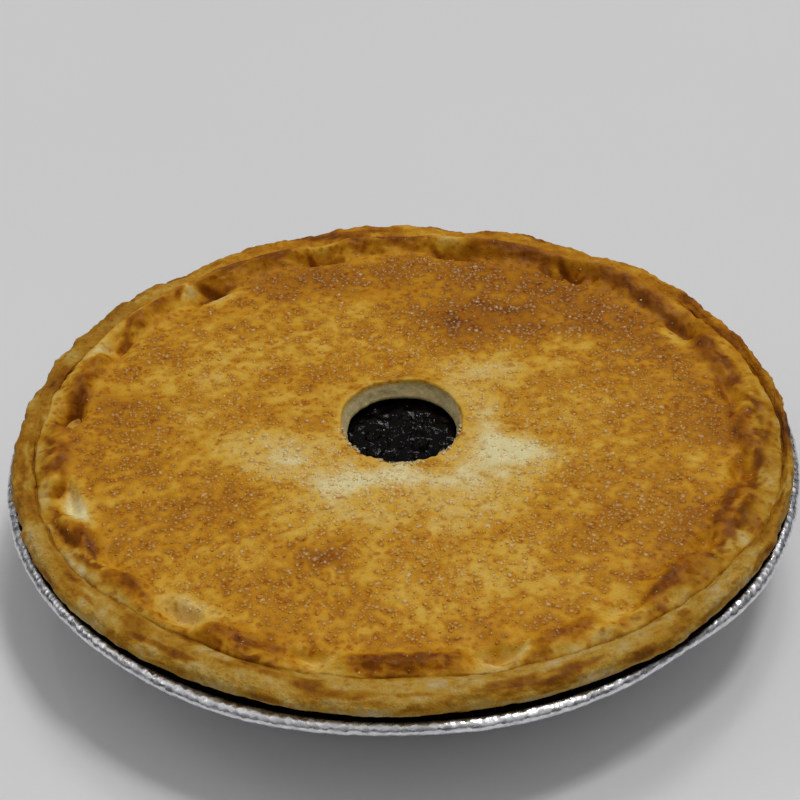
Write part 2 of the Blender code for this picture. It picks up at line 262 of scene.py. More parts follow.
# Paler and darker places of the lid: x, y, half length and half width in mm, turn in degrees, browning
LID_PATCHES = (
    (26, 55, 27, 13, -4, 0.3),
    (14, 50, 12, 9, 0, 0.1),
    (60, 66, 26, 13, -35, 0.2),
    (78, 40, 14, 20, 20, 0.08),
    (-21, -62, 7, 4, 10, 0.24),
    (-24, -56, 9, 5, 0, 0.1),
    (32, -17, 15, 12, 0, -0.3),
    (24, 4, 8, 16, 0, -0.12),
    (-36, -12, 17, 12, 10, -0.2),
    (-12, -24, 16, 9, 0, -0.18),
    (26, 27, 14, 9, 0, -0.12),
    (-2, 27, 16, 7, 0, 0.04),
    (0, -27, 24, 7, 0, -0.16),
    (0, -38, 46, 12, 0, -0.08),
    (0, 84, 70, 13, 0, 0.16),
    (10, -36, 22, 10, 0, -0.1),
    (0, 72, 26, 8, 0, 0.1),
    (45, 55, 20, 5, -20, 0.1),
    (-55, 40, 20, 16, 0, -0.04),
    (70, -40, 22, 16, -30, 0.06),
    (-60, -45, 20, 14, 30, 0.05),
    (-90, 10, 8, 24, 0, 0.08),
    (99, 6, 6, 30, 0, 0.08),
    (86, -48, 6, 20, -32, 0.06),
    (-10, -80, 45, 13, 0, -0.05),
)

# Browning of the ridge's crest and of the pockets inside it: angle, half width in degrees, radius, browning
RIM_BROWNS = (
    (183, 5, 0.1076, 0.6),
    (187, 4, 0.1036, 0.3),
    (206, 8, 0.1094, 0.85),
    (207, 7, 0.1078, 0.6),
    (212, 4, 0.1068, 0.8),
    (222, 6, 0.1052, 0.44),
    (245, 6, 0.1096, 0.7),
    (269, 8, 0.1054, 0.75),
    (290, 6, 0.108, 0.3),
    (313, 5, 0.106, 0.5),
    (326, 8, 0.1094, 0.55),
    (335, 6, 0.1046, 0.65),
    (342, 9, 0.1096, 0.65),
    (357, 9, 0.1092, 0.75),
    (350, 12, 0.1036, 0.3),
    (10, 10, 0.1036, 0.3),
    (13, 10, 0.109, 0.6),
    (29, 4, 0.107, 0.45),
    (40, 8, 0.106, 0.34),
    (58, 5, 0.1034, 0.5),
    (68, 7, 0.107, 0.36),
    (79, 4, 0.101, 0.4),
    (95, 5, 0.108, 0.3),
    (114, 6, 0.109, 0.34),
    (126, 4, 0.1022, 0.7),
    (138, 4, 0.1076, 0.4),
    (148, 6, 0.1056, 0.34),
    (164, 5, 0.107, 0.3),
    (172, 5, 0.1048, 0.6),
)
RIM_PALES = (
    (198.5, 6, 0.1032, 0.85),
    (232, 5, 0.1042, 0.3),
    (233, 5, 0.099, 0.24),
    (257, 5, 0.1045, 0.34),
    (283, 6, 0.1054, 0.3),
    (155, 4, 0.108, 0.26),
    (142, 4, 0.112, 0.16),
    (132, 3.5, 0.107, 0.42),
    (128, 4, 0.0965, 0.34),
    (103, 4, 0.108, 0.26),
    (90, 3, 0.109, 0.16),
    (81, 2, 0.108, 0.24),
    (28, 4, 0.101, 0.24),
    (306, 6, 0.105, 0.12),
    (220, 5, 0.11, 0.1),
)

# Sugar grains on the lid
SUGAR_COUNT = 11500
SUGAR_SMALL = 0.00048
SUGAR_LARGE = 0.00155
SUGAR_SEED = 71
SUGAR_SINK = 0.31
HALO_REACH = 0.0013
HALO_BROWNING = 0.18
CLEAR_SUGAR = (0.84, 0.66, 0.36)

# Crumbs along the front edge of the vent hole
CRUMB_COUNT = 46
CRUMB_SIZE = 0.0007
CRUMB_SEED = 201
CRUMB_COLOUR = (0.72, 0.58, 0.33)

# The foil, clean, and painted nearly black as painted shade where the crust shades it
CLEAN_FOIL = (0.92, 0.92, 0.94)
SHADED_FOIL = (0.01, 0.006, 0.004)

# Lamps: name, direction towards it, strength, softness in degrees. The small ones make the glints
LAMPS = (
    ("Ceiling lamp", (0.28, 0.14, 1.0), 0.77, 12),
    ("Back lamp", (0.14, 0.56, 1.0), 0.42, 16),
    ("Left lamp", (-0.9, 0.31, 1.0), 0.1, 20),
    ("Small lamp", (0.2, 0.14, 1.0), 0.05, 1.2),
    ("Small lamp", (0.14, 0.56, 1.0), 0.05, 1.2),
    ("Small lamp", (-0.45, 0.95, 1.0), 0.05, 1.2),
    ("Small lamp", (0.55, 1.2, 1.0), 0.05, 1.2),
)

# The room's own light: how it rises with the sine of the height above the table
ROOM_LIGHT = (("From Min", 0.3), ("From Max", 0.95), ("To Min", 0.05), ("To Max", 0.62))

# The photograph's camera: metres and degrees, and the lens in mm on a sensor of 36 mm
CAMERA_DISTANCE = 0.7
CAMERA_ELEVATION = 36.45
CAMERA_ROLL = -1.72
CAMERA_TARGET = (-0.0003, 0.0121, 0.042)
CAMERA_LENS = 100.7
CAMERA_SENSOR = 36

# The table top
FLOOR_SIZE = 8
FLOOR_COLOUR = (0.715, 0.715, 0.718, 1)
FLOOR_DROP = 0.0002

# Mesh steps of the pieces
STEPS = 800
BAND_STEPS = 1000
DOME_RINGS = 72
RIDGE_RINGS = 32
FILLING_STEPS = 240
FILLING_RINGS = 56
BERRY_DIVISIONS = 5


def wobble(angle, seed, lowest, highest, size):
    """A smooth uneven curve round the pie, as a sum of waves with seeded phases."""
    random = np.random.default_rng(seed)
    total = 0.0
    for wave in range(lowest, highest + 1):
        phase = random.uniform(0, 2 * math.pi)
        share = random.uniform(0.4, 1.0)
        total += share * np.cos(wave * angle + phase)
    return size * total / math.sqrt(highest - lowest + 1)


def bell(distance, width):
    """A smooth bump of height 1 at distance 0."""
    return np.exp(-((distance / width) ** 2))


def ramp(value, start, end):
    """Rises evenly from 0 at start to 1 at end."""
    return np.clip((value - start) / (end - start), 0, 1)


def turn_from(angle, degrees):
    """How far an angle is from a direction, in degrees from -180 to 180."""
    return (np.degrees(angle) - degrees + 180) % 360 - 180


def lattice(points, size, seed):
    """Smooth noise from -1 to 1 with bumps of about the given size."""
    side = 32
    table = np.random.default_rng(seed).uniform(-1, 1, (side, side, side))
    scaled = points / size
    cell = np.floor(scaled).astype(int)
    part = scaled - cell
    part = part * part * (3 - 2 * part)
    total = np.zeros(points.shape[:-1])
    for corner in np.ndindex(2, 2, 2):
        index = (cell + corner) % side
        weight = np.prod(np.where(np.array(corner) == 1, part, 1 - part), axis=-1)
        total += weight * table[index[..., 0], index[..., 1], index[..., 2]]
    return total


def fractal(points, size, seed, octaves=3):
    """Noise of several sizes, each half as large and half as strong as the one before."""
    total = 0.0
    for octave in range(octaves):
        total += lattice(points, size / 2**octave, seed + octave) / 2**octave
    return total


def to_points(radius, angle, height):
    """The points at a radius, angle and height."""
    return np.stack([radius * np.cos(angle), radius * np.sin(angle), height], axis=-1)


def flat_points(radius, angle):
    """Points in the plane of the pie, for noise that follows the lid."""
    return to_points(radius, angle, np.zeros_like(angle))


def thumb_marks(angle):
    """How deep the thumb marks are at an angle, and the radius of the nearest."""
    deepest = 0.0 * angle
    middle = 0.0 * angle
    for at, half_width, depth, radius in THUMB_MARKS:
        here = depth * bell(turn_from(angle, at), half_width)
        middle = np.where(here >= deepest, radius, middle)
        deepest = np.maximum(deepest, here)
    return deepest, middle


def backward(angle):
    """Rises from 0 at the sides of the pie to 1 at its back."""
    return ramp(np.sin(angle), BACK_START, BACK_FULL)


def baked_back(angle):
    """Rises to 1 at the back and right of the rim, which baked darkest. The back left stayed pale."""
    return ramp(np.sin(angle), -0.05, 0.35) * ramp(-turn_from(angle, 142), 0, 26)


def band_rise(angle):
    """How much higher or lower the rim's band is at an angle."""
    lowering = (MARK_LOWERS_BAND + MARK_LOWERS_BACK * backward(angle)) * thumb_marks(angle)[0]
    return wobble(angle, *BAND_UP_WAVES) + BACK_RISE * backward(angle) - lowering


def rim_shift(radius, angle):
    """How far a point of the crust moves out with the crease: nothing on the lid, all of it at the crease."""
    oval = CREASE_OVAL * np.cos(2 * angle) + CREASE_OFFSET * np.cos(angle)
    return ramp(radius, RIM_START, CREASE_RADIUS) ** 2 * (oval + wobble(angle, *CREASE_WAVES))


def dome_height(radius):
    """The height of the plain dome."""
    return LID_CROWN - LID_FALL * (radius / DOME_RADIUS) ** 2


def crest_radius(mark, angle):
    """The radius of the ridge's crest, by the depth of the thumb mark there."""
    return RIDGE_RADIUS + BACK_CREST * backward(angle) + CREST_SWING * (mark - MARK_MIDDLE)


def top_height(radius, angle):
    """The top of the lid: the dome, uneven and sagging before the vent, then the marks and the ridge."""
    sag = LID_SAG * bell(radius - VENT_RADIUS, SAG_LENGTH) * np.sin(angle)
    swell = wobble(angle, *LID_WAVES) * np.sin(math.pi * ramp(radius, 0, DOME_RADIUS))
    mark, middle = thumb_marks(angle)
    crest = crest_radius(mark, angle)
    lift = RIDGE_HEIGHT + BACK_LIFT * backward(angle) + wobble(angle, *RIDGE_WAVES) - MARK_LOWERS_RIDGE * mark
    ridge = lift * bell(radius - crest, np.where(radius < crest, RIDGE_INNER_WIDTH, RIDGE_OUTER_WIDTH))
    hollow = mark * bell(radius - middle, np.where(radius < middle, MARK_INNER, MARK_OUTER))
    return dome_height(radius) + sag + swell + ridge - hollow


def line_offsets(radius, angle, at, middle, turn):
    """Distances along and across a short line on the rim, which bends a little."""
    around = np.radians(turn_from(angle, at)) * middle
    outward = radius - middle
    lean = math.radians(turn)
    bend = 0.0008 * lattice(flat_points(radius, angle), 0.004, 99)
    along = around * math.cos(lean) + outward * math.sin(lean)
    return along, outward * math.cos(lean) - around * math.sin(lean) + bend


def folds(radius, angle):
    """Steps where the rim's dough overlaps itself: up sharply at an edge, then falling away behind it."""
    height = 0.0 * radius
    for at, middle, half_length, turn, step in FOLDS:
        along, across = line_offsets(radius, angle, at, middle, turn)
        rise = 1 / (1 + np.exp(np.clip(-across / FOLD_EDGE * 3, -30, 30)))
        height += step * rise * np.exp(-np.maximum(across, 0) / FOLD_REACH) * bell(along, half_length)
    return height


def pinches(radius, angle):
    """How deep the rim's narrow creases are, and how much painted shade darkens the dough in them."""
    deep = 0.0 * radius
    brown = 0.0 * radius
    for at, middle, half_length, turn, depth, browning in PINCHES:
        along, across = line_offsets(radius, angle, at, middle, turn)
        ends = bell(along, half_length)
        deep = np.maximum(deep, depth * ends * np.exp(-np.abs(across) / PINCH_WIDTH))
        # Painted shade along the bottom of each crease
        brown = np.maximum(brown, browning * ends * bell(across, PINCH_SHADE))
    return deep, brown


def crust_relief(radius, angle):
    """Fine relief of the top crust: low blisters on the lid, folds and coarser lumps on the rim."""
    points = flat_points(radius, angle)
    blisters = 0.00016 * fractal(points, 0.005, 101) + 0.00022 * lattice(points, 0.014, 104)
    on_ridge = ramp(radius, 0.0985, 0.104)
    flakes = ramp(radius, 0.102, 0.106) * np.abs(fractal(points, 0.003, 115, 2))
    lumps = 0.00085 * fractal(points, 0.0068, 107) + 0.0003 * lattice(points, 0.0022, 110)
    lumps = lumps * (1 + 0.6 * backward(angle))
    mark, middle = thumb_marks(angle)
    deeper = 0.3 * mark * bell(radius - middle, 0.002) + pinches(radius, angle)[0]
    at_crease = ramp(radius, 0.1075, 0.1105) * closed_crease(angle)
    rough = on_ridge * lumps + folds(radius, angle) - deeper - 0.00045 * flakes
    return blisters + rough * (1 - at_crease) + CREASE_RISE * at_crease * backward(angle)


def crease_jag(angle):
    """The crease's own small bends, the same on both crusts."""
    return 0.00055 * fractal(flat_points(CREASE_RADIUS, angle), 0.0085, 114, 3)


def closed_crease(angle):
    """Rises to 1 where no crease shows between the crusts."""
    closed = 0.0 * angle
    for at, half_width in CLOSED_CREASE:
        closed = np.maximum(closed, ramp(half_width - np.abs(turn_from(angle, at)), 0, 8))
    return closed


def lid_edge_height(angle):
    """The height of the lid's edge at the crease."""
    raised = CREASE_RISE * closed_crease(angle) * backward(angle)
    return top_height(CREASE_RADIUS - GAP, angle) + raised - LID_EDGE_DROP


def browned(amount):
    """The crust's colour at each amount of browning."""
    stops = [stop for stop, _ in BROWNING]
    channels = [np.interp(amount, stops, [colour[i] for _, colour in BROWNING]) for i in range(3)]
    return np.stack(channels, axis=-1)


def lid_browning(radius, angle):
    """How brown the top crust is, from its patches, the rim's crests and pockets, and uneven heat; painted
    shade darkens the thumb pockets at the back and the narrow creases.
    """
    points = flat_points(radius, angle)
    x = points[..., 0] * 1000
    y = points[..., 1] * 1000
    warp = 5 * lattice(points, 0.011, 120)
    amount = LID_BROWNING + 0.045 * fractal(points, 0.03, 130) + 0.04 * fractal(points, 0.0085, 134)
    amount += 0.045 * fractal(points, 0.003, 137, 2)
    for at_x, at_y, half_length, half_width, turn, change in LID_PATCHES:
        cosine, sine = math.cos(math.radians(turn)), math.sin(math.radians(turn))
        along = ((x - at_x + warp) * cosine + (y - at_y) * sine) / half_length
        across = ((y - at_y + warp) * cosine - (x - at_x) * sine) / half_width
        amount += change * np.exp(-((along**2 + across**2) ** 1.4))
    amount += 0.06 * ramp(radius, 0.07, 0.098)
    on_rim = ramp(radius, 0.1, 0.105)
    mark, middle = thumb_marks(angle)
    crest = crest_radius(mark, angle)
    hill = ramp(0.0016 - mark, 0, 0.0016)
    streaks = 1 + 0.8 * lattice(points, 0.005, 141)
    amount += 0.27 * hill * streaks * bell(radius - crest, 0.003)
    # Painted shade: the thumb pockets at the back are darkened where shade falls in them
    pocket_shade = ramp(mark, 0.0012, 0.0036) * ramp(np.sin(angle), -0.25, 0.05)
    amount += 0.18 * pocket_shade * bell(radius - middle - 0.0012, 0.0026)
    uneven = 0.13 * fractal(points, 0.007, 143) + 0.05 * fractal(points, 0.0021, 148, 2)
    amount += on_rim * (uneven + 0.12 * baked_back(angle))
    ragged = ramp(0.5 + 0.9 * fractal(points, 0.0036, 147), 0.0, 0.7)
    for at, half_width, place, change in RIM_BROWNS:
        near = bell(turn_from(angle, at), half_width) * bell(radius - place + 0.0003 * warp, 0.002)
        amount += 0.9 * change * ragged * near
    for at, half_width, place, change in RIM_PALES:
        amount -= 0.8 * change * bell(turn_from(angle, at), half_width) * bell(radius - place, 0.003)
    outer_slope = ramp(radius, 0.1075, 0.11) * (1 - baked_back(angle))
    mottle = 0.16 * ramp(fractal(points, 0.006, 145), 0.1, 0.7)
    # Painted shade in the narrow creases
    amount += pinches(radius, angle)[1]
    return np.minimum(amount - outer_slope * (0.06 - mottle), MOST_BROWNING)


def add_object(name, data):
    """A new object in the scene, with its mesh, lamp or camera."""
    obj = bpy.data.objects.new(name, data)
    bpy.context.scene.collection.objects.link(obj)
    return obj


def make_grid(name, place, radii, heights, steps, closed):
    """A turned mesh: rings of points from an outline, each put in place by place(radius, angle, height)."""
    rings = len(radii)
    angle = np.arange(steps) * 2 * math.pi / steps
    grid_radius = np.repeat(np.array(radii)[:, None], steps, axis=1)
    grid_height = np.repeat(np.array(heights)[:, None], steps, axis=1)
    grid_angle = np.repeat(angle[None, :], rings, axis=0)
    new_radius, new_height = place(grid_radius, grid_angle, grid_height)
    points = to_points(new_radius, grid_angle, new_height).reshape(-1, 3)
    faces = []
    last = rings if closed else rings - 1
    step = np.arange(steps)
    ahead = (step + 1) % steps
    for ring in range(last):
        low = ring * steps
        high = ((ring + 1) % rings) * steps
        faces.append(np.stack([low + step, high + step, high + ahead, low + ahead], axis=-1))
    quads = np.concatenate(faces)
    mesh = bpy.data.meshes.new(name)
    if closed:
        mesh.from_pydata(points.tolist(), [], quads.tolist())
    else:
        first_pole, last_pole = len(points), len(points) + 1
        poles = [[0, 0, float(new_height[0].mean())], [0, 0, float(new_height[-1].mean())]]
        end = (rings - 1) * steps
        caps = [[first_pole, int(s), int(a)] for s, a in zip(step, ahead)]
        caps += [[last_pole, int(end + a), int(end + s)] for s, a in zip(step, ahead)]
        mesh.from_pydata(points.tolist() + poles, [], quads.tolist() + caps)
    mesh.validate()
    mesh.shade_smooth()
    return add_object(name, mesh)


def smooth_outline(points, rounds=2):
    """Rounds the corners of an open outline by cutting them again and again. The ends stay."""
    points = np.array(points, float)
    for _ in range(rounds):
        near = 0.75 * points[:-1] + 0.25 * points[1:]
        far = 0.25 * points[:-1] + 0.75 * points[1:]
        cut = np.stack([near, far], axis=1).reshape(-1, 2)
        points = np.concatenate([points[:1], cut[1:-1], points[-1:]])
    return points


def spaced_outline(points, spacing):
    """The same outline with a point every spacing metres along it."""
    points = np.array(points, float)
    lengths = np.hypot(*np.diff(points, axis=0).T)
    along = np.concatenate([[0], np.cumsum(lengths)])
    count = max(3, round(along[-1] / spacing) + 1)
    at = np.linspace(0, along[-1], count)
    return np.stack([np.interp(at, along, points[:, 0]), np.interp(at, along, points[:, 1])], axis=-1)


def arc(middle, half_size, start, turn, points):
    """Points along an oval arc, by (radius, height) of its middle and its half width and half height."""
    outline = []
    for index in range(points):
        around = math.radians(start - turn * index)
        across = middle[0] + half_size[0] * math.cos(around)
        outline.append((across, middle[1] + half_size[1] * math.sin(around)))
    return outline


def paint(obj, colours, name="Crust", mottle=1.0):
    """Stores a colour at every point of a mesh, and how mottled it is there, for its material."""
    values = np.ones((len(obj.data.vertices), 4), np.float32)
    values[:, :3] = colours
    values[:, 3] = mottle
    layer = obj.data.color_attributes.new(name, "FLOAT_COLOR", "POINT")
    layer.data.foreach_set("color", values.ravel())


def polar(obj):
    """Radius and angle of every point of a mesh, and the points."""
    points = np.zeros(len(obj.data.vertices) * 3, np.float32)
    obj.data.vertices.foreach_get("co", points)
    points = points.reshape(-1, 3).astype(float)
    return np.hypot(points[:, 0], points[:, 1]), np.arctan2(points[:, 1], points[:, 0]), points


class Shader:
    """Builds a node material with a Principled BSDF, a node at a time."""

    def __init__(self, name):
        self.material = bpy.data.materials.new(name)
        self.material.use_nodes = True
        self.tree = self.material.node_tree
        self.bsdf = self.tree.nodes["Principled BSDF"]
        self.coords = self.tree.nodes.new("ShaderNodeTexCoord").outputs["Object"]

    def put(self, kind, settings=None, **inputs):
        node = self.tree.nodes.new(kind)
        for key, value in (settings or {}).items():
            setattr(node, key, value)
        for key, value in inputs.items():
            self.set(node.inputs[key.replace("_", " ")], value)
        return node

    def set(self, socket, value):
        if isinstance(value, bpy.types.NodeSocket):
            self.tree.links.new(value, socket)
        else:
            socket.default_value = value

    def noise(self, scale, detail=3.0, roughness=0.55):
        settings = {"Vector": self.coords, "Scale": scale, "Detail": detail, "Roughness": roughness}
        return self.put("ShaderNodeTexNoise", **settings).outputs["Fac"]

    def ramp(self, value, stops):
        node = self.put("ShaderNodeValToRGB", Fac=value)
        elements = node.color_ramp.elements
        for index, (at, level) in enumerate(stops):
            element = elements[index] if index < 2 else elements.new(at)
            element.position = at
            element.color = (level, level, level, 1)
        return node.outputs["Color"]

    def spread(self, value, low, high):
        """Maps the middle of a noise's range onto low to high."""
        node = self.put("ShaderNodeMapRange", Value=value)
        for key, number in (("From Min", 0.3), ("From Max", 0.7), ("To Min", low), ("To Max", high)):
            node.inputs[key].default_value = number
        return node.outputs["Result"]

    def mix(self, kind, factor, first, second):
        node = self.put("ShaderNodeMix", {"data_type": "RGBA", "blend_type": kind})
        self.set(node.inputs["Factor"], factor)
        self.set(node.inputs[6], first)
        self.set(node.inputs[7], second)
        return node.outputs[2]

    def bump(self, height, strength, distance, below=None):
        node = self.put("ShaderNodeBump", Strength=strength, Distance=distance, Height=height)
        if below is not None:
            self.set(node.inputs["Normal"], below)
        return node.outputs["Normal"]

    def finish(self, **inputs):
        for key, value in inputs.items():
            self.set(self.bsdf.inputs[key.replace("_", " ")], value)
        return self.material


def crust_material(name, gloss, spots, skin, pores=0.0005):
    """Baked dough: the painted browning with darker blots, grain and pores, and an uneven gloss.

    spots says how strong the blots are, skin and pores how rough the surface is.
    """
    shader = Shader(name)
    layer = shader.put("ShaderNodeVertexColor", {"layer_name": "Crust"})
    painted = layer.outputs["Color"]
    melted = shader.put("ShaderNodeTexVoronoi", {"feature": "SMOOTH_F1"}, Vector=shader.coords, Scale=470.0)
    blots = shader.ramp(melted.outputs["Distance"], [(0.2, 1.0), (0.46, 0.0)])
    where = shader.ramp(shader.noise(190, 3.0, 0.6), [(0.4, 0.0), (0.58, spots)])
    amount = shader.mix("MULTIPLY", 1.0, blots, where)
    amount = shader.mix("MULTIPLY", 1.0, amount, layer.outputs["Alpha"])
    colour = shader.mix("MULTIPLY", amount, painted, BLOT_TINT)
    grain = shader.spread(shader.noise(1500, 3.0, 0.6), 0.88, 1.1)
    colour = shader.mix("MULTIPLY", 1.0, colour, grain)
    uneven = shader.spread(shader.noise(440, 2.0, 0.6), 0.93, 1.06)
    colour = shader.mix("MULTIPLY", 1.0, colour, uneven)
    roughness = shader.spread(shader.noise(160, 3.0), gloss, gloss + 0.2)
    fine = shader.bump(shader.noise(2600, 2.0, 0.6), 0.3, 0.00012)
    relief = shader.bump(shader.noise(750, 3.0, 0.55), skin, pores, fine)
    return shader.finish(
        Base_Color=colour,
        Roughness=roughness,
        Normal=relief,
        Specular_IOR_Level=0.14,
        Specular_Tint=(1.0, 0.72, 0.34, 1),
        Coat_Weight=0.015,
        Coat_Roughness=0.16,
    )


def sugar_material():
    """Coarse sugar, part melted: each grain has its own colour, and facets that glint."""
    shader = Shader("Coarse sugar")
    painted = shader.put("ShaderNodeVertexColor", {"layer_name": "Crust"}).outputs["Color"]
    cloud = shader.spread(shader.noise(1500, 2.0), 0.86, 1.08)
    return shader.finish(
        Base_Color=shader.mix("MULTIPLY", 1.0, painted, cloud),
        Roughness=shader.spread(shader.noise(900, 2.0), 0.22, 0.5),
        Normal=shader.bump(shader.noise(3000, 2.0), 0.25, 0.00008),
        Specular_IOR_Level=0.42,
        Specular_Tint=(1.0, 0.84, 0.54, 1),
        Coat_Weight=0.06,
        Coat_Roughness=0.1,
    )


def filling_material():
    """Blueberries in their dark syrup: nearly black, with purple where it is thin, and wet."""
    shader = Shader("Blueberry filling")
    cloud = shader.ramp(shader.noise(260, 4.0), [(0.42, 0.0), (0.66, 1.0)])
    colour = shader.mix("MIX", cloud, (0.001, 0.001, 0.0012, 1), (0.0034, 0.0014, 0.0018, 1))
    folds = shader.bump(shader.noise(270, 2.0, 0.5), 1.0, 0.001)
    fine = shader.bump(shader.noise(900, 2.0, 0.5), 0.12, 0.0002, folds)
    roughness = shader.spread(shader.noise(500, 2.0), 0.02, 0.05)
    return shader.finish(Base_Color=colour, Roughness=roughness, Normal=fine, Specular_IOR_Level=0.08)


def foil_material():
    """Thin aluminium foil: bright, with fine crinkles and faint drawing marks."""
    shader = Shader("Foil")
    tone = shader.spread(shader.noise(380, 3.0), 0.7, 1.0)
    # The painted shade that make_tin stores under the crust's edge
    foil_shade = shader.put("ShaderNodeVertexColor", {"layer_name": "FoilShade"}).outputs["Color"]
    colour = shader.mix("MULTIPLY", 1.0, foil_shade, tone)
    fine = shader.bump(shader.noise(1900, 2.0, 0.6), 0.35, 0.00015)
    crinkle = shader.put("ShaderNodeTexVoronoi", Vector=shader.coords, Scale=520.0).outputs["Distance"]
    relief = shader.bump(crinkle, 0.5, 0.0005, fine)
    roughness = shader.spread(shader.noise(500, 2.0), 0.18, 0.42)
    return shader.finish(Base_Color=colour, Metallic=1.0, Roughness=roughness, Normal=relief)


def give(obj, material, slot, *nodes):
    """Gives a piece its material and its place in the frame."""
    obj.data.materials.append(material)
    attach(obj, "root")
    if nodes:
        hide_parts(*nodes)


def make_tin():
    """The foil tin: fluted wall, narrow flange and a curled bead, crinkled all over."""
    wall_middle = (TIN_BASE_RADIUS + TIN_MOUTH_RADIUS) / 2
    bead_middle = (RIM_RADIUS - BEAD_WIDTH / 2, TIN_DEPTH + BEAD_LIFT)
    half_bead = (BEAD_WIDTH / 2, BEAD_HEIGHT / 2)
    inside = [(0.002, FOIL), (TIN_BASE_RADIUS, FOIL), (wall_middle, TIN_DEPTH / 2)]
    inside += [(TIN_MOUTH_RADIUS, TIN_DEPTH), (TIN_MOUTH_RADIUS + FLANGE_LENGTH, TIN_DEPTH)]
    bead = arc(bead_middle, half_bead, 152, 11, 25)
    outside = [(TIN_MOUTH_RADIUS + FOIL, TIN_DEPTH - FOIL), (wall_middle + FOIL, TIN_DEPTH / 2)]
    outside += [(TIN_BASE_RADIUS + FOIL, 0.0), (0.002, 0.0)]
    outline = np.concatenate([spaced_outline(inside, 0.0035), bead, spaced_outline(outside, 0.0035)])

    def place(radius, angle, height):
        wall = ramp(radius, TIN_BASE_RADIUS - FOIL, TIN_MOUTH_RADIUS)
        on_wall = (wall > 0) & (radius < TIN_MOUTH_RADIUS + 2 * FOIL)
        flute = FLUTE_DEPTH * np.sin(math.pi * (0.1 + 0.75 * wall)) * (1 + np.cos(FLUTES * angle)) / 2
        on_rim = ramp(radius, TIN_MOUTH_RADIUS, RIM_RADIUS)
        dent = wobble(angle, *TIN_OUT_WAVES)
        for at, half_width, distance in RIM_DENTS:
            dent += distance * bell(turn_from(angle, at), half_width)
        round_rim = flat_points(RIM_RADIUS, angle)
        crinkle = 0.00014 * (fractal(round_rim, 0.0022, 151, 2) - 1.6)
        up = wobble(angle, *TIN_UP_WAVES) + 0.00011 * fractal(round_rim, 0.003, 154, 2)
        new_radius = radius + np.where(on_wall, flute, 0) + on_rim * (dent + crinkle)
        return new_radius, height + on_rim * up

    tin = make_grid("foil_tin", place, outline[:, 0], outline[:, 1], STEPS, False)
    radius, angle, points = polar(tin)
    # Painted shade: the foil under the crust's edge is painted nearly black, reaching less far out at the
    # back
    reach = BEAD_WIDTH * (0.34 + 0.66 * ramp(np.sin(angle), 0, 0.5))
    shaded = ramp(RIM_RADIUS - reach - radius, 0, 0.0006) * (points[:, 2] > TIN_DEPTH * 0.99)
    clean = np.array(CLEAN_FOIL)
    paint(tin, clean + shaded[:, None] * (np.array(SHADED_FOIL) - clean), "FoilShade")
    give(tin, foil_material(), "foil", "tin")


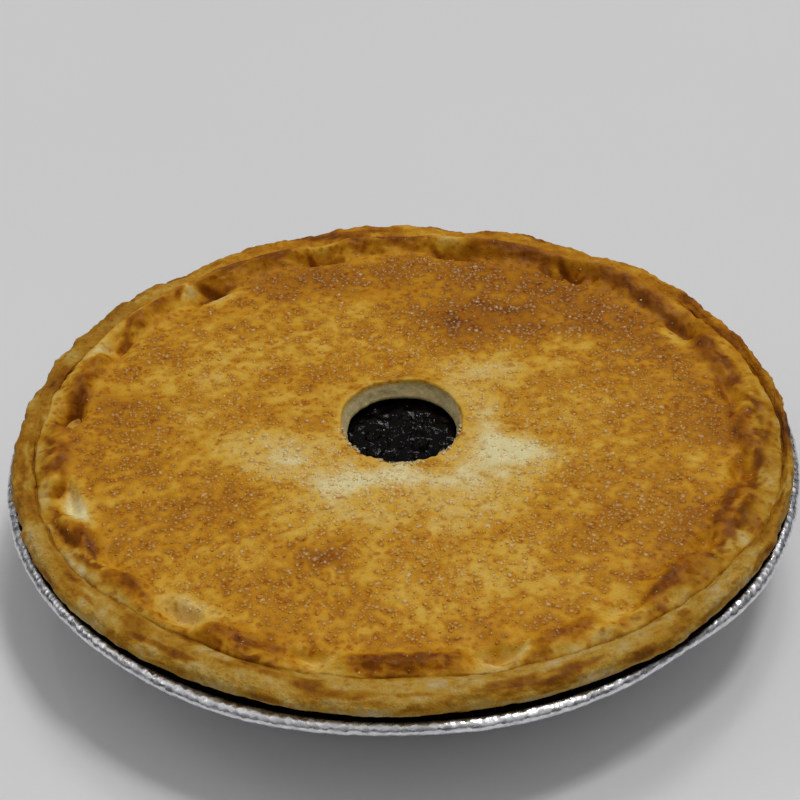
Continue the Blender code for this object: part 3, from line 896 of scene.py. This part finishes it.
def make_bottom_crust():
    """The bottom crust: its edge is a rounded band, uneven and flaky, darkened with painted shade in the gap
    above the tin.
    """
    base = FOIL + GAP
    underside = TIN_DEPTH + GAP
    hidden_top = [(0.002, base + DOUGH), (FLOOR_RADIUS, base + DOUGH), (LEDGE_START, LEDGE_HEIGHT)]
    hidden_top += [(CREASE_RADIUS - 0.0002, LEDGE_HEIGHT)]
    band = [(CREASE_RADIUS, LEDGE_HEIGHT), (CREASE_RADIUS + 0.0001, CREASE_TOP)]
    band += [(CREASE_RADIUS + 0.0008, CRUST_TOP - 0.0006), (CREASE_RADIUS + 0.0032, CRUST_TOP)]
    band += arc((CRUST_RADIUS - BAND_ROUND, BAND_MIDDLE), (BAND_ROUND, BAND_ROUND), 55, 21.5, 7)
    band += [(BAND_FOOT_RADIUS, underside + 2 * GAP), (TIN_MOUTH_RADIUS - 0.0006, underside)]
    hidden_foot = [(TIN_MOUTH_RADIUS - 0.0008, underside), (TIN_BASE_RADIUS - 0.0008, base), (0.002, base)]
    hidden_top, hidden_foot = (spaced_outline(part, 0.012) for part in (hidden_top, hidden_foot))
    outline = np.concatenate([hidden_top, spaced_outline(smooth_outline(band), 0.00042), hidden_foot])

    def place(radius, angle, height):
        above_tin = height > underside + 3 * GAP
        with_crease = rim_shift(radius, angle) * ramp(radius, CRUST_RADIUS, CREASE_RADIUS + 0.0012)
        uneven = wobble(angle, *BAND_OUT_WAVES) - CRUST_FORWARD * np.sin(angle)
        bulge = ramp(radius, BAND_START, CRUST_RADIUS) * uneven
        above_ledge = radius > CREASE_RADIUS - GAP
        on_band = above_ledge * ramp(height, LEDGE_HEIGHT, CREASE_TOP)
        near_lid = ramp(CREASE_RADIUS + 0.004 - radius, 0, 0.0036)
        lip = near_lid * ramp(height, CREASE_TOP - 0.003, CREASE_TOP)
        to_lid = lid_edge_height(angle) - LIP_BELOW_LID - height - band_rise(angle)
        meets = LIP_MEETS_LID + (1 - LIP_MEETS_LID) * closed_crease(angle)
        rise = on_band * band_rise(angle) + lip * meets * to_lid
        closing = CREASE_CLOSING * closed_crease(angle) * above_ledge * ramp(0.115 - radius, 0, 0.003)
        ring = to_points(radius, angle, height)
        crags = 0.00016 + 0.00026 * ramp(np.sin(angle), -0.6, 0.1)
        rough = 0.0006 * fractal(ring, 0.0062, 161) + crags * fractal(ring, 0.0034, 165, 3)
        rough -= 0.0005 * np.abs(fractal(ring, 0.0034, 116, 2))
        layers = np.stack([ring[..., 0] / 7, ring[..., 1] / 7, ring[..., 2]], axis=-1)
        rough += 0.00024 * fractal(layers, 0.0011, 168, 2)
        visible = ramp(height, 0.032, 0.0345) * (radius > CREASE_RADIUS + 0.001)
        jag = crease_jag(angle) * above_ledge * ramp(0.116 - radius, 0, 0.003)
        out = np.where(above_tin, with_crease + bulge, 0) + visible * (rough - 0.0004) - closing + jag
        return radius + out, height + rise + visible * 0.5 * rough

    crust = make_grid("bottom_crust_baked", place, outline[:, 0], outline[:, 1], BAND_STEPS, False)
    radius, angle, points = polar(crust)
    streak = np.stack([radius * 0.9, angle * CRUST_RADIUS / 4, points[:, 2]], axis=-1)
    amount = 0.34 + 0.1 * fractal(points, 0.009, 171) + 0.1 * fractal(streak, 0.0026, 175, 2)
    amount += 0.34 * ramp(fractal(streak, 0.0034, 178), 0.25, 0.75)
    amount += 0.2 * ramp(fractal(points, 0.011, 158, 2), 0.2, 0.7)
    amount += 0.15 * baked_back(angle) * ramp(points[:, 2], 0.0345, 0.0375)
    amount += 0.08 * fractal(points, 0.0019, 149, 2) + 0.08 * bell(turn_from(angle, 146), 15)
    amount += 0.14 * bell(turn_from(angle, 8), 20)
    amount -= 0.1 * ramp(points[:, 2], 0.036, 0.0335)
    crease = CREASE_RADIUS + rim_shift(CREASE_RADIUS, angle)
    amount += 0.16 * bell(radius - crease, 0.001) * (1 - closed_crease(angle))
    # Painted shade in part: the band in front is tinted greyer and darker
    front_tint = np.array(BAND_TINT)
    tint = front_tint + baked_back(angle)[:, None] * (np.array(BACK_BAND_TINT) - front_tint)
    colours = browned(amount) * tint
    # Painted shade: the band darkens to nearly black towards its underside, above the tin
    shade = 0.06 + 0.94 * ramp(points[:, 2], 0.0326, 0.0352)
    paint(crust, colours * shade[:, None])
    give(crust, crust_material("Baked edge", 0.5, 0.6, 1.0, 0.0008), "crust_edge", "bottom_crust")


def sugar_places():
    """Where the grains lie: radius, angle, size. They are thinner near the vent and on the smooth places."""
    random = np.random.default_rng(SUGAR_SEED)
    tries = SUGAR_COUNT * 3
    radius = np.sqrt(random.uniform((VENT_RADIUS * 1.12) ** 2, 0.1105**2, tries))
    angle = random.uniform(0, 2 * math.pi, tries)
    points = flat_points(radius, angle)
    density = 0.62 + 0.34 * fractal(points, 0.013, 181, 3) + 0.12 * (np.cos(angle) > 0)
    bare = bell(points[:, 0], 0.022) * bell(points[:, 1] - 0.074, 0.007)
    bare += bell(points[:, 0] - 0.045, 0.016) * bell(points[:, 1] - 0.055, 0.004)
    keep = random.uniform(0, 1, tries) < density * (1 - bare) * (1 - 0.88 * ramp(radius, 0.097, 0.105))
    radius, angle = radius[keep][:SUGAR_COUNT], angle[keep][:SUGAR_COUNT]
    size = SUGAR_SMALL + (SUGAR_LARGE - SUGAR_SMALL) * random.uniform(0, 1, len(radius)) ** 1.8
    size = size * (1 - 0.5 * ramp(radius, 0.095, 0.102))
    return radius, angle, size


def vent_stretch(radius, angle):
    """How much the vent hole is stretched and uneven, near its edge."""
    near_vent = np.where(radius < UNDER_RING / 2, bell(radius - VENT_RADIUS, VENT_REACH), 0)
    return near_vent * (VENT_STRETCH * np.sin(angle) ** 2 + wobble(angle, *VENT_WAVES))


def sugar_halos(points, grains):
    """Browning round each sugar grain, where it has melted into the crust."""
    halo = np.zeros(len(points))
    cell = HALO_REACH * 2.5
    keys = {}
    for index, key in enumerate(map(tuple, np.floor(grains[:, :2] / cell).astype(int))):
        keys.setdefault(key, []).append(index)
    cells = np.floor(points[:, :2] / cell).astype(int)
    order = np.lexsort((cells[:, 1], cells[:, 0]))
    ordered = cells[order]
    starts = np.flatnonzero(np.any(np.diff(ordered, axis=0, prepend=ordered[:1] - 1) != 0, axis=1))
    for group in np.split(order, starts[1:]):
        cell_x, cell_y = cells[group[0]]
        near = [i for dx in (-1, 0, 1) for dy in (-1, 0, 1) for i in keys.get((cell_x + dx, cell_y + dy), [])]
        if near:
            offset = points[group, None, :2] - grains[None, near, :2]
            distance = np.hypot(offset[..., 0], offset[..., 1])
            halo[group] = (grains[None, near, 2] * bell(distance, HALO_REACH)).sum(axis=1)
    return halo


def make_top_crust(grain_radius, grain_angle, grain_size):
    """The lid: its dome, thumbed ridge and vent hole, with blisters and a crumbling edge at the vent.

    In its outline a point at the height top_mark lies on the top, and one a little lower that much below it.
    """
    edge = CREASE_RADIUS + LID_OVERLAP
    under_rim = LEDGE_HEIGHT + GAP
    top_mark = 2 * LID_CROWN
    dome = np.linspace(VENT_RADIUS + 0.0006, RIM_START, DOME_RINGS, endpoint=False)
    ridge = np.linspace(RIM_START, LID_LAST_RING, RIDGE_RINGS)
    lid = [(radius, top_mark) for radius in (*dome, *ridge)]
    lip = [(VENT_RADIUS + inward, top_mark - drop) for inward, drop in VENT_LIP[::-1]]
    side = spaced_outline([(edge, LID_EDGE_SIDE + 0.0006), (edge, under_rim)], 0.0008)
    rim_edge = [(edge - inward, top_mark - drop) for inward, drop in OUTER_LIP] + side.tolist()
    under = [(RIM_START, under_rim), (UNDER_RING, dome_height(UNDER_RING) - LID_THICKNESS)]
    wall_foot = (VENT_FOOT_RADIUS, VENT_FOOT_HEIGHT + 0.0008)
    wall_head = (VENT_RADIUS - 0.00025, LID_CROWN - 0.0012)
    wall = spaced_outline([(VENT_FOOT_RADIUS + 0.0006, VENT_FOOT_HEIGHT), wall_foot, wall_head], 0.0006)
    outline = np.array(lip + lid + rim_edge + under + wall.tolist())

    def place(radius, angle, height):
        top = top_height(radius, angle) + crust_relief(radius, angle)
        top = np.minimum(top, cad_box[1][2] - 0.0001)
        points = to_points(radius, angle, np.minimum(height, 0.05))
        front = ramp(-np.sin(angle), -0.2, 0.5)
        at_vent = (0.0002 + 0.0006 * front) * bell(radius - VENT_RADIUS, 0.0009)
        torn = at_vent * fractal(points, 0.0022, 191, 2)
        on_top = height > LID_CROWN
        at_edge = ~on_top * (radius > RIDGE_RADIUS) * ramp(height, LID_EDGE_SIDE - 0.001, LID_EDGE_SIDE)
        edge_fall = at_edge * (lid_edge_height(angle) - LID_EDGE_TOP)
        on_wall = ~on_top & (radius < UNDER_RING / 2)
        wall_rough = np.where(on_wall, 0.00025 * fractal(points, 0.003, 194, 2), 0)
        jag = crease_jag(angle) * ramp(radius, 0.106, 0.111) ** 2
        new_radius = (radius + rim_shift(radius, angle)) * (1 + vent_stretch(radius, angle))
        new_radius = new_radius + torn + wall_rough + jag
        below_top = top_mark - height
        return new_radius, np.where(on_top, top - below_top + 0.3 * torn, height + edge_fall)

    crust = make_grid("top_crust_baked", place, outline[:, 0], outline[:, 1], STEPS, True)
    radius, angle, points = polar(crust)
    grains = flat_points(grain_radius, grain_angle)
    grains[:, 2] = grain_size / SUGAR_LARGE
    amount = lid_browning(radius, angle)
    halos = np.minimum(sugar_halos(points, grains), 1.3) * ramp(amount, 0.08, 0.36)
    amount += HALO_BROWNING * halos - 0.03
    wall_side = radius < VENT_RADIUS * (1 + vent_stretch(VENT_RADIUS, angle)) + 0.00005
    wall_top = top_height(VENT_RADIUS, angle) - 0.0003
    wall = (wall_side * ramp(wall_top - points[:, 2], 0, 0.0012))[:, None]
    colours = browned(amount)
    # Painted shade in part: the ridge's outer slope in front is tinted greyer and darker
    slope = ramp(radius, 0.107, 0.1095) * ramp(-np.sin(angle), -0.35, 0.05)
    colours = colours * (1 + slope[:, None] * (np.array(SLOPE_TINT) - 1))
    raw = browned(0.04 + 0.03 * fractal(points, 0.004, 197, 2)) * np.array(RAW_TINT)
    colours += wall * (raw - colours)
    paint(crust, colours, mottle=ramp(amount, 0.02, 0.22) * (1 - wall[:, 0]))
    give(crust, crust_material("Baked lid", 0.34, 0.9, 0.45), "crust", "top_crust")


def add_blocks(name, middles, sizes, sides, seed, colours):
    """One mesh of many small blocks, each turned its own way, a little out of square, of its own colour."""
    random = np.random.default_rng(seed)
    corners = np.array(list(np.ndindex(2, 2, 2)), float) - 0.5
    faces = np.array([(0, 1, 3, 2), (4, 6, 7, 5), (0, 4, 5, 1), (2, 3, 7, 6), (0, 2, 6, 4), (1, 5, 7, 3)])
    all_points = []
    all_faces = []
    for index, (middle, size) in enumerate(zip(middles, sizes)):
        axis = Vector(random.normal(size=3)).normalized()
        spin = np.array(Matrix.Rotation(random.uniform(0, math.pi), 3, axis))
        shape = corners * size * np.array(sides) + random.uniform(-0.12, 0.12, (8, 3)) * size
        all_points.append(shape @ spin.T + middle)
        all_faces.append(faces + 8 * index)
    mesh = bpy.data.meshes.new(name)
    mesh.from_pydata(np.concatenate(all_points).tolist(), [], np.concatenate(all_faces).tolist())
    mesh.validate()
    obj = add_object(name, mesh)
    paint(obj, np.repeat(colours, 8, axis=0))
    return obj


def make_sugar(radius, angle, size):
    """The coarse sugar on the lid, part sunk in it and browned with it."""
    random = np.random.default_rng(SUGAR_SEED + 1)
    height = top_height(radius, angle) + crust_relief(radius, angle) - SUGAR_SINK * size
    height = np.minimum(height, cad_box[1][2] - size)
    out = (radius + rim_shift(radius, angle)) * (1 + vent_stretch(radius, angle))
    middles = to_points(out, angle, height)
    browning = lid_browning(radius, angle)
    beneath = browned(browning + 0.09)
    whitish = 0.05 + 0.14 * ramp(browning, 0.46, 0.7) + 0.55 * ramp(browning, 0.3, 0.1)
    whiteness = whitish[:, None] + 0.42 * random.uniform(0, 1, (len(radius), 1)) ** 7
    colours = beneath + whiteness * (np.array(CLEAR_SUGAR) - beneath)
    sugar = add_blocks("sugar_grains", middles, size, (1.0, 0.9, 0.8), SUGAR_SEED + 2, colours)
    sugar.data.shade_smooth()
    give(sugar, sugar_material(), "crust")


def make_crumbs():
    """Crumbs of pale dough and sugar on the front edge of the vent hole."""
    random = np.random.default_rng(CRUMB_SEED)
    angle = np.radians(random.uniform(190, 350, CRUMB_COUNT))
    radius = VENT_RADIUS + random.uniform(-0.0004, 0.0016, CRUMB_COUNT)
    out = radius * (1 + vent_stretch(radius, angle))
    size = CRUMB_SIZE * random.uniform(0.6, 1.7, CRUMB_COUNT)
    height = top_height(radius, angle) - 0.0001 + 0.1 * size
    middles = to_points(out, angle, height)
    colours = random.uniform(0.85, 1.1, (CRUMB_COUNT, 1)) * np.array(CRUMB_COLOUR)
    crumbs = add_blocks("vent_crumbs", middles, size, (1.0, 0.8, 0.7), CRUMB_SEED + 1, colours)
    give(crumbs, crust_material("Crumbs", 0.5, 0.1, 0.45), "crust")


def icosphere(subdivisions):
    """Points and faces of a ball of radius 1."""
    bpy.ops.mesh.primitive_ico_sphere_add(subdivisions=subdivisions, radius=1.0)
    ball = bpy.context.active_object
    points = np.array([vertex.co for vertex in ball.data.vertices])
    faces = np.array([face.vertices[:] for face in ball.data.polygons])
    mesh = ball.data
    bpy.data.objects.remove(ball)
    bpy.data.meshes.remove(mesh)
    return points, faces


def make_filling():
    """The filling: the syrup that fills the crust, and wrinkled berries under the vent hole."""
    floor = FOIL + GAP + DOUGH + GAP
    outline = [(0.0006, FILLING_TOP)]
    outline += [(radius, FILLING_TOP) for radius in np.linspace(0.0012, 0.023, FILLING_RINGS)]
    outline += [(UNDER_RING / 2, FILLING_TOP)]
    outline += [(radius, dome_height(radius) - LID_THICKNESS - GAP) for radius in (UNDER_RING, 0.09)]
    outline += [(RIM_START - 0.0012, LEDGE_HEIGHT - 0.0003), (FILLING_EDGE_RADIUS, LEDGE_HEIGHT - 0.0008)]
    outline += [(FILLING_FOOT_RADIUS, floor), (0.002, floor)]
    outline = np.array(outline)

    def place(radius, angle, height):
        points = flat_points(radius, angle)
        waves = 0.0006 * fractal(points, 0.0042, 211, 2) * ramp(radius, 0.024, 0.02)
        return radius, height + np.where(height == FILLING_TOP, waves, 0)

    core = make_grid("filling_core", place, outline[:, 0], outline[:, 1], FILLING_STEPS, False)
    core_points = polar(core)[2]
    core_faces = [list(face.vertices) for face in core.data.polygons]
    ball_points, ball_faces = icosphere(BERRY_DIVISIONS)
    all_points = [core_points]
    all_faces = core_faces
    random = np.random.default_rng(BERRY_SEED)
    offset = len(core_points)
    for index in range(BERRY_COUNT):
        radius = BERRY_SPREAD * math.sqrt((index + 0.5) / BERRY_COUNT)
        angle = index * GOLDEN_ANGLE + random.uniform(-0.25, 0.25)
        size = BERRY_RADIUS * random.uniform(0.82, 1.12)
        height = BERRY_TOP - size - random.uniform(0, BERRY_SINK)
        squash = np.array((size, size, size * random.uniform(0.75, 0.95)))
        middle = np.array((radius * math.cos(angle), radius * math.sin(angle), height))
        wrinkle = 1 + 0.13 * (fractal(ball_points + 3.0 * index, 0.6, 221, 3) - 0.4)
        all_points.append(ball_points * wrinkle[:, None] * squash + middle)
        all_faces += (ball_faces + offset).tolist()
        offset += len(ball_points)
    mesh = core.data
    mesh.clear_geometry()
    mesh.from_pydata(np.concatenate(all_points).tolist(), [], all_faces)
    mesh.validate()
    mesh.shade_smooth()
    core.name = "blueberry_filling_wet"
    give(core, filling_material(), "filling", "blueberry_filling")


def make_floor():
    """The white table top that the pie stands on."""
    bpy.ops.mesh.primitive_plane_add(size=FLOOR_SIZE)
    floor = bpy.context.active_object
    floor.name = "floor"
    shader = Shader("Floor")
    tone = shader.spread(shader.noise(3, 2.0), 0.985, 1.015)
    colour = shader.mix("MULTIPLY", 1.0, FLOOR_COLOUR, tone)
    floor.data.materials.append(shader.finish(Base_Color=colour, Roughness=0.65))
    floor.location.z = -FLOOR_DROP


def make_camera():
    """The photograph's view: 0.7 m from the pie, 36 degrees above the table, tilted a little."""
    elevation = math.radians(CAMERA_ELEVATION)
    roll = math.radians(CAMERA_ROLL)
    target = Vector(CAMERA_TARGET)
    place = target + CAMERA_DISTANCE * Vector((0, -math.cos(elevation), math.sin(elevation)))
    forward = (target - place).normalized()
    right = Vector((1, 0, 0))
    up = right.cross(forward)
    tilted_right = right * math.cos(roll) + up * math.sin(roll)
    tilted_up = up * math.cos(roll) - right * math.sin(roll)
    camera = add_object("Camera", bpy.data.cameras.new("Camera"))
    camera.data.sensor_width = CAMERA_SENSOR
    camera.data.lens = CAMERA_LENS
    matrix = Matrix((tilted_right, tilted_up, -forward)).transposed().to_4x4()
    matrix.translation = place
    camera.matrix_world = matrix
    bpy.context.scene.camera = camera


def add_sun(name, towards, strength, softness):
    """A far soft lamp in a direction, given as a vector towards it."""
    light = bpy.data.lights.new(name, "SUN")
    light.energy = strength
    light.angle = math.radians(softness)
    lamp = add_object(name, light)
    lamp.rotation_euler = Vector(towards).to_track_quat("Z", "Y").to_euler()


def make_light():
    """Soft lamps nearly overhead, small bright ones for glints, and a room light darker near the floor."""
    for lamp in LAMPS:
        add_sun(*lamp)
    world = bpy.data.worlds.new("Room")
    world.use_nodes = True
    tree = world.node_tree
    background = tree.nodes["Background"]
    coords = tree.nodes.new("ShaderNodeTexCoord")
    split = tree.nodes.new("ShaderNodeSeparateXYZ")
    level = tree.nodes.new("ShaderNodeMapRange")
    tree.links.new(coords.outputs["Generated"], split.inputs[0])
    tree.links.new(split.outputs["Z"], level.inputs["Value"])
    for key, number in ROOM_LIGHT:
        level.inputs[key].default_value = number
    background.inputs["Color"].default_value = (1.0, 1.0, 1.0, 1)
    tree.links.new(level.outputs["Result"], background.inputs["Strength"])
    bpy.context.scene.world = world
    bpy.context.scene.view_settings.view_transform = "Standard"


def main():
    make_tin()
    make_bottom_crust()
    make_filling()
    grains = sugar_places()
    make_top_crust(*grains)
    make_sugar(*grains)
    make_crumbs()
    make_floor()
    make_camera()
    make_light()


main()
